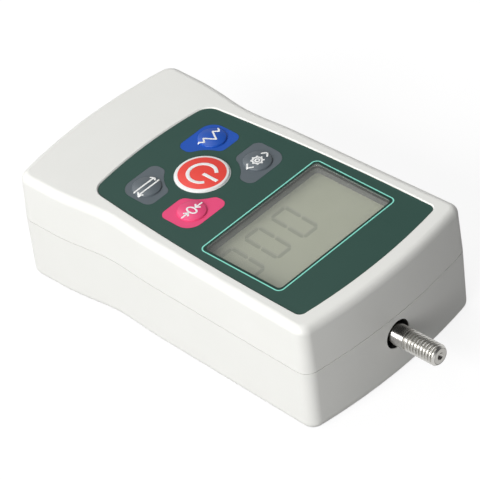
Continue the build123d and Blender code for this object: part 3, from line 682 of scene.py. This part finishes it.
# ---------------------------------------------------------------- marks on the keys
def ribbon(points, stroke, top, closed):
    """A flat printed stroke along points, its upper side mark_thickness above top."""
    near = []
    for start, stop in zip(points, points[1:] + points[:1] * closed):
        start, stop = Vector(start), Vector(stop)
        steps = max(1, round((stop - start).length / mark_step))
        near += [start.lerp(stop, i / steps) for i in range(steps)]
    if not closed:
        near.append(points[-1])
    line = bpy.data.curves.new("stroke", "CURVE")
    line.dimensions = "3D"
    spline = line.splines.new("POLY")
    spline.points.add(len(near) - 1)
    for knot, (x, y) in zip(spline.points, near):
        knot.co = (x, y, 0, 1)
    spline.use_cyclic_u = closed
    line.bevel_depth = stroke / 2
    line.bevel_resolution = 3
    line.use_fill_caps = True
    holder = linked("stroke", line)
    mesh = evaluated(holder)
    bpy.data.objects.remove(holder)
    flat = Matrix.Diagonal((1, 1, 2 * mark_thickness / stroke, 1))
    mesh.transform(Matrix.Scale(MM, 4) @ Matrix.Translation((0, 0, top)) @ flat)
    return mesh


def joined(meshes):
    """One mesh from several."""
    whole = bmesh.new()
    for mesh in meshes:
        whole.from_mesh(mesh)
    return mesh_of(whole, "joined")


def draped(mesh, key):
    """Lays a flat mark on a key's surface, over the edge of its embossed round."""
    film = nodes[key].data
    faces = [list(face.vertices) for face in film.polygons]
    surface = BVHTree.FromPolygons([corner.co for corner in film.vertices], faces)
    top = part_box(key)[1].z
    angles = [tau * i / drape_feelers for i in range(drape_feelers)]
    steps = [Vector((0, 0))] + [Vector((cos(a), sin(a))) * drape_reach * MM for a in angles]
    for corner in mesh.vertices:
        starts = [Vector((*(corner.co.xy + step), top + MM)) for step in steps]
        hits = [surface.ray_cast(start, Vector((0, 0, -1)))[0] for start in starts]
        corner.co.z += max(hit.z for hit in hits if hit) - top
    return mesh


def oval(half_width, half_height, count):
    """Points round an oval about the origin."""
    angles = [tau * i / count for i in range(count)]
    return [(half_width * cos(a), half_height * sin(a)) for a in angles]


def arrow(tail, head):
    """Strokes of an arrow: its shaft, and its head."""
    tail, head = Vector(tail), Vector(head)
    back = (tail - head).normalized() * mark_head
    aside = Vector((-back.y, back.x))
    return [([tail, head], False), ([head + back + aside, head, head + back - aside], False)]


def gear(half_height):
    """Strokes of a gear about the origin: its teeth, its rim and its hub."""
    rim, hub, tip = (share * half_height for share in (gear_rim, gear_hub, gear_tip))
    ways = [Vector((cos(a), sin(a))) for a in (tau * i / gear_teeth for i in range(gear_teeth))]
    teeth = [([way * rim, way * tip], False) for way in ways]
    return teeth + [(oval(rim, rim, 30), True), (oval(hub, hub, 24), True)]


def mark_strokes():
    """Strokes of each outer key's mark about its own middle, each with whether it is closed."""
    x, y = (mark_width - mark_stroke) / 2, (mark_height - mark_stroke) / 2
    back, rise = chevron_reach[0] * y, chevron_reach[1] * y
    chevrons = [
        ([(side * (x - back), rise), (side * x, 0), (side * (x - back), -rise)], False)
        for side in (-1, 1)
    ]
    inner_x, swap_y = zero_arrow_end * x, swap_arrow_rise * y
    nought = (oval(nought_half_width * y, y, 32), True)
    return {
        "peak": [([(u * x, v * y) for u, v in peak_line], False)],
        "set": gear(y) + chevrons,
        "zero": [nought] + arrow((-x, 0), (-inner_x, 0)) + arrow((x, 0), (inner_x, 0)),
        "unit": arrow((-x, swap_y), (x, swap_y)) + arrow((x, -swap_y), (-x, -swap_y)),
    }


def power_strokes():
    """Strokes of the sign for standby: a ring open at its top, and a bar through the opening."""
    start, stop, steps = 90 + power_gap_angle, 450 - power_gap_angle, 64
    angles = [radians(start + (stop - start) * i / steps) for i in range(steps + 1)]
    ring = [(power_ring_r * cos(a), power_ring_r * sin(a)) for a in angles]
    return [(ring, False), ([(0, end) for end in power_bar], False)]


def key_marks():
    """Printed white marks, one on each key."""
    marks = [("power", power_mark_place, power_stroke, power_strokes())]
    for name, strokes in mark_strokes().items():
        marks.append((name, petal_mark_place[name], mark_stroke, strokes))
    for name, (mid_x, mid_y), stroke, strokes in marks:
        key = f"{name}_key"
        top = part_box(key)[1].z / MM
        ribbons = [
            ribbon([(mid_x + u, mid_y + v) for u, v in points], stroke, top, closed)
            for points, closed in strokes
        ]
        mesh = draped(joined(ribbons), key)
        mesh.shade_smooth()
        piece(f"{name}_mark", mesh, white_mark, f"{name}_button")


# ---------------------------------------------------------------- figures of the display
def figure_mesh(top):
    """One figure of the display, a seven-segment nought, centred on the origin."""
    x, y = (figure_width - figure_stroke) / 2, (figure_height - figure_stroke) / 2
    corners = [Vector(c) for c in ((-x, -y), (-x, 0), (-x, y), (x, y), (x, 0), (x, -y))]
    shape = bmesh.new()
    for start, stop in zip(corners, corners[1:] + corners[:1]):
        ahead = (stop - start).normalized()
        point = ahead * figure_stroke / 2
        aside = Vector((-point.y, point.x))
        rear, front = start + ahead * figure_gap, stop - ahead * figure_gap
        outline = [
            rear, rear + point + aside, front - point + aside,
            front, front - point - aside, rear + point - aside,
        ]
        low = [shape.verts.new((p.x, p.y, 0)) for p in outline]
        high = [shape.verts.new((p.x, p.y, mark_thickness)) for p in outline]
        shape.faces.new(high)
        shape.faces.new(low[::-1])
        for i in range(len(outline)):
            shape.faces.new([low[i - 1], low[i], high[i], high[i - 1]])
    mesh = mesh_of(shape, "figure")
    slant = Matrix.Identity(4)
    slant[0][1] = figure_slant / figure_height
    mesh.transform(Matrix.Scale(MM, 4) @ Matrix.Translation((0, 0, top)) @ slant)
    return mesh


def row_tree(finish):
    """Repeats the incoming shape in a row along x."""
    numbers = {"Count": WHOLE, "First x": FLOAT, "Pitch": FLOAT, "Mid y": FLOAT}
    tree = Shape("row_of_figures", numbers, finish)
    given = tree.given
    start = tree.combine(given["First x"], given["Mid y"], 0.0)
    step = tree.combine(given["Pitch"], 0.0, 0.0)
    inputs = {"Count": given["Count"], "Start Location": start, "Offset": step}
    points = tree.node("GeometryNodeMeshLine", None, inputs)
    inputs = {"Points": points, "Instance": given["Geometry"]}
    return tree.finished(tree.node("GeometryNodeInstanceOnPoints", None, inputs))


def display_row():
    """The figures on the display's glass, and just below them their shadows on its reflector."""
    glass_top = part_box("display_glass")[1].z / MM
    rows = [
        ("display_figures", (0.0, 0.0), glass_top, figure_finish),
        ("figure_shadows", figure_shadow_shift, glass_top - mark_thickness / 2, shadow_finish),
    ]
    for name, (shift_x, shift_y), top, finish in rows:
        settings = {
            "Count": figure_count, "First x": (figure_first[0] + shift_x) * MM,
            "Pitch": figure_pitch * MM, "Mid y": (figure_first[1] + shift_y) * MM,
        }
        mesh = bake_tree(name, figure_mesh(top), row_tree(finish), settings)
        piece(name, mesh, finish, "housing")


# ---------------------------------------------------------------- studio parts
def looked_at(tree):
    """Two shares: of rays that see the studio straight or through glass, and of mirrored ones."""
    rays = tree.node("ShaderNodeLightPath").socket.node.outputs
    seen = Value(tree, rays["Is Camera Ray"]).at_least(Value(tree, rays["Is Transmission Ray"]))
    return seen, Value(tree, rays["Is Glossy Ray"])


def studio_floor():
    """A pale floor that looks white and keeps the gauge's shadow."""
    shape = bmesh.new()
    corners = [(-1, -1), (1, -1), (1, 1), (-1, 1)]
    level = [Vector((x * floor_half, y * floor_half, -floor_drop)) * MM for x, y in corners]
    shape.faces.new([shape.verts.new(corner) for corner in level])
    floor = linked("studio_floor", mesh_of(shape, "studio_floor"))
    f = Finish("studio_floor")
    seen, mirrored = looked_at(f)
    colour = f.mix(seen, floor_bounce, floor_seen)
    roughness = f.grain(3.0).between(0.5, 0.6)
    shaded = f.node("ShaderNodeBsdfDiffuse", None, {"Color": colour, "Roughness": roughness})
    white = f.node("ShaderNodeEmission", None, {"Color": (1, 1, 1), "Strength": floor_white})
    share = seen.at_least(mirrored) * floor_share
    mixed = f.node("ShaderNodeMixShader", None, {0: share, 1: shaded, 2: white})
    f.end("ShaderNodeOutputMaterial", "Surface", mixed)
    floor.data.materials.append(f.material)


def studio_world():
    """White where it is seen, white low down and dim overhead in a mirror, and a soft light."""
    world = bpy.data.worlds.new("studio")
    world.use_nodes = True
    bpy.context.scene.world = world
    world.node_tree.nodes.clear()
    tree = Tree(world.node_tree)
    seen, mirrored = looked_at(tree)
    height = tree.split(tree.node("ShaderNodeTexCoord", output="Generated"))[2]
    overhead = 1.0 - height.ramp(0.0, overhead_height) * (1 - overhead_white)
    unseen = mirrored * overhead + (1.0 - mirrored) * world_strength
    level = seen + (1.0 - seen) * unseen
    light = tree.node("ShaderNodeBackground", None, {"Color": (1, 1, 1), "Strength": level})
    tree.end("ShaderNodeOutputWorld", "Surface", light)


def softbox(name, place, size, power):
    lamp = bpy.data.lights.new(name, "AREA")
    lamp.shape = "RECTANGLE"
    lamp.size, lamp.size_y = size
    lamp.energy = power
    holder = linked(name, lamp)
    holder.location = Vector(place) * MM
    ahead = Vector(softbox_aim) - Vector(place)
    holder.rotation_euler = ahead.to_track_quat("-Z", "Y").to_euler()


def studio_camera():
    """A long lens, at a place and a turn given by the camera's own axes in the gauge's frame."""
    turned = Matrix((camera_right, camera_up, camera_back)).transposed().to_4x4()
    data = bpy.data.cameras.new("camera")
    data.sensor_width = camera_sensor
    data.lens = camera_lens
    data.shift_x, data.shift_y = camera_shift
    data.clip_end = camera_reach
    holder = linked("camera", data)
    holder.matrix_world = Matrix.Translation(Vector(camera_place) * MM) @ turned
    bpy.context.scene.camera = holder


# ---------------------------------------------------------------- the gauge in its studio
sensing_shaft()
key_marks()
display_row()
studio_floor()
studio_world()
for box_name, box_values in softboxes.items():
    softbox(box_name, *box_values)
studio_camera()
bpy.context.scene.view_settings.view_transform = "Standard"
